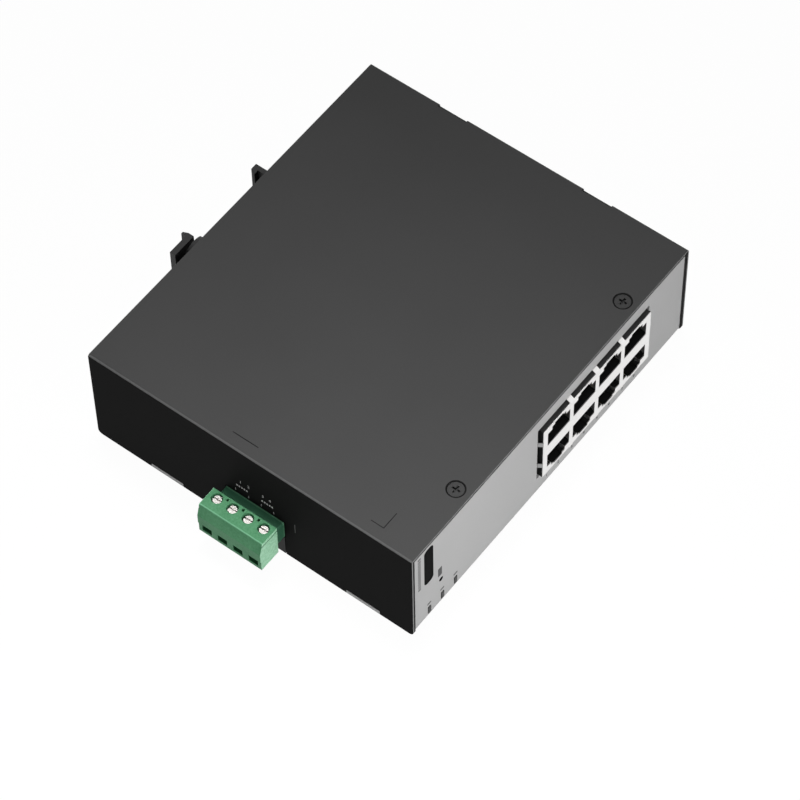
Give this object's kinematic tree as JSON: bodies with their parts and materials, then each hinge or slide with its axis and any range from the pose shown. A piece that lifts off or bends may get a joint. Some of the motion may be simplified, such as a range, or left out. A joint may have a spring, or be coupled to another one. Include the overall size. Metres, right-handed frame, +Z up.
{
  "type": "ethernet switch",
  "caption": "Rail-mount network switch in a folded steel box with stacked ports on one end, a pull-off screw terminal plug and a rail clip on the back.",
  "frame": {"origin": "centre of the enclosure's flat light grey underside", "axes": "+X along the port panel, away from the power plug; -Y out of the port panel; +Y out of the rail clip's side; +Z up through the dark cover"},
  "size_m": [0.1614, 0.1414, 0.044],
  "materials": {
    "cover_paint": "fine-textured powder coat, satin",
    "chassis_paint": "smooth light grey powder coat",
    "steel": "zinc-plated steel",
    "tin_plate": "tinned sheet and wire",
    "brass": "plated brass",
    "gold_plate": "gold-plated spring wire",
    "aluminium": "anodised and drawn aluminium",
    "board_laminate": "green solder mask on glass laminate",
    "black_plastic": "moulded, satin",
    "header_plastic": "moulded, satin dark green",
    "plug_plastic": "moulded, satin green",
    "clear_lens": "milky light pipe",
    "led_body": "moulded lamp body",
    "chip_resin": "moulded resin",
    "pad_rubber": "soft thermal pad",
    "ceramic_white": "ceramic body"
  },
  "bodies": {
    "enclosure": {"cover": "cover_paint", "chassis": "chassis_paint", "cover_screws": "steel", "cover_nuts": "steel", "circuit_board": "board_laminate", "board_standoffs": "brass", "board_screws": "steel", "jack_housing": "black_plastic", "jack_shield": "tin_plate", "jack_contacts": "gold_plate", "led_lenses": "clear_lens", "status_leds": "led_body", "reset_switch": "black_plastic", "terminal_header": "header_plastic", "header_pins": "tin_plate", "din_base": "black_plastic", "din_spring": "steel", "din_screws": "steel", "clip_nuts": "steel", "switch_chip": "chip_resin", "thermal_pad": "pad_rubber", "heat_sink": "aluminium", "lan_transformers": "chip_resin", "fuse": "ceramic_white", "power_inductor": "chip_resin", "regulator": "chip_resin", "crystal": "tin_plate", "capacitors": "aluminium", "small_parts": "chip_resin"},
    "power_plug": {"plug_body": "plug_plastic", "plug_contacts": "tin_plate"},
    "rail_latch": {"din_latch": "black_plastic"},
    "reset_key": {"reset_button": "black_plastic"},
    "screw_1": {"clamp_screw_1": "steel"},
    "cage_1": {"clamp_cage_1": "tin_plate"},
    "screw_2": {"clamp_screw_2": "steel"},
    "cage_2": {"clamp_cage_2": "tin_plate"},
    "screw_3": {"clamp_screw_3": "steel"},
    "cage_3": {"clamp_cage_3": "tin_plate"},
    "screw_4": {"clamp_screw_4": "steel"},
    "cage_4": {"clamp_cage_4": "tin_plate"}
  },
  "joints": [
    {"name": "plug_pull", "type": "slide", "parent": "enclosure", "child": "power_plug", "axis": [-1, 0, 0], "range_m": [0, 0.009]},
    {"name": "latch_slide", "type": "slide", "parent": "enclosure", "child": "rail_latch", "axis": [-1, 0, 0], "range_m": [0, 0.004], "stiffness_N_per_m": 600, "springref_m": -0.003, "deforming": ["din_spring"]},
    {"name": "reset_press", "type": "slide", "parent": "enclosure", "child": "reset_key", "axis": [0, 1, 0], "range_m": [0, 0.0003], "stiffness_N_per_m": 500, "springref_m": -0.0004},
    {"name": "screw_turn_1", "type": "hinge", "parent": "power_plug", "child": "screw_1", "pos_m": [-0.0811, -0.01107, 0.0195], "axis": [0, 0, -1], "range_deg": [0, 1440]},
    {"name": "cage_lift_1", "type": "slide", "parent": "power_plug", "child": "cage_1", "axis": [0, 0, 1], "range_m": [0, 0.002]},
    {"name": "screw_turn_2", "type": "hinge", "parent": "power_plug", "child": "screw_2", "pos_m": [-0.0811, -0.00483, 0.0195], "axis": [0, 0, -1], "range_deg": [0, 1440]},
    {"name": "cage_lift_2", "type": "slide", "parent": "power_plug", "child": "cage_2", "axis": [0, 0, 1], "range_m": [0, 0.002]},
    {"name": "screw_turn_3", "type": "hinge", "parent": "power_plug", "child": "screw_3", "pos_m": [-0.0811, 0.00143, 0.0195], "axis": [0, 0, -1], "range_deg": [0, 1440]},
    {"name": "cage_lift_3", "type": "slide", "parent": "power_plug", "child": "cage_3", "axis": [0, 0, 1], "range_m": [0, 0.002]},
    {"name": "screw_turn_4", "type": "hinge", "parent": "power_plug", "child": "screw_4", "pos_m": [-0.0811, 0.00768, 0.0195], "axis": [0, 0, -1], "range_deg": [0, 1440]},
    {"name": "cage_lift_4", "type": "slide", "parent": "power_plug", "child": "cage_4", "axis": [0, 0, 1], "range_m": [0, 0.002]}
  ],
  "couplings": [
    {"joint": "screw_turn_1", "follows": "cage_lift_1", "rad_per_m": 12566},
    {"joint": "screw_turn_2", "follows": "cage_lift_2", "rad_per_m": 12566},
    {"joint": "screw_turn_3", "follows": "cage_lift_3", "rad_per_m": 12566},
    {"joint": "screw_turn_4", "follows": "cage_lift_4", "rad_per_m": 12566}
  ]
}
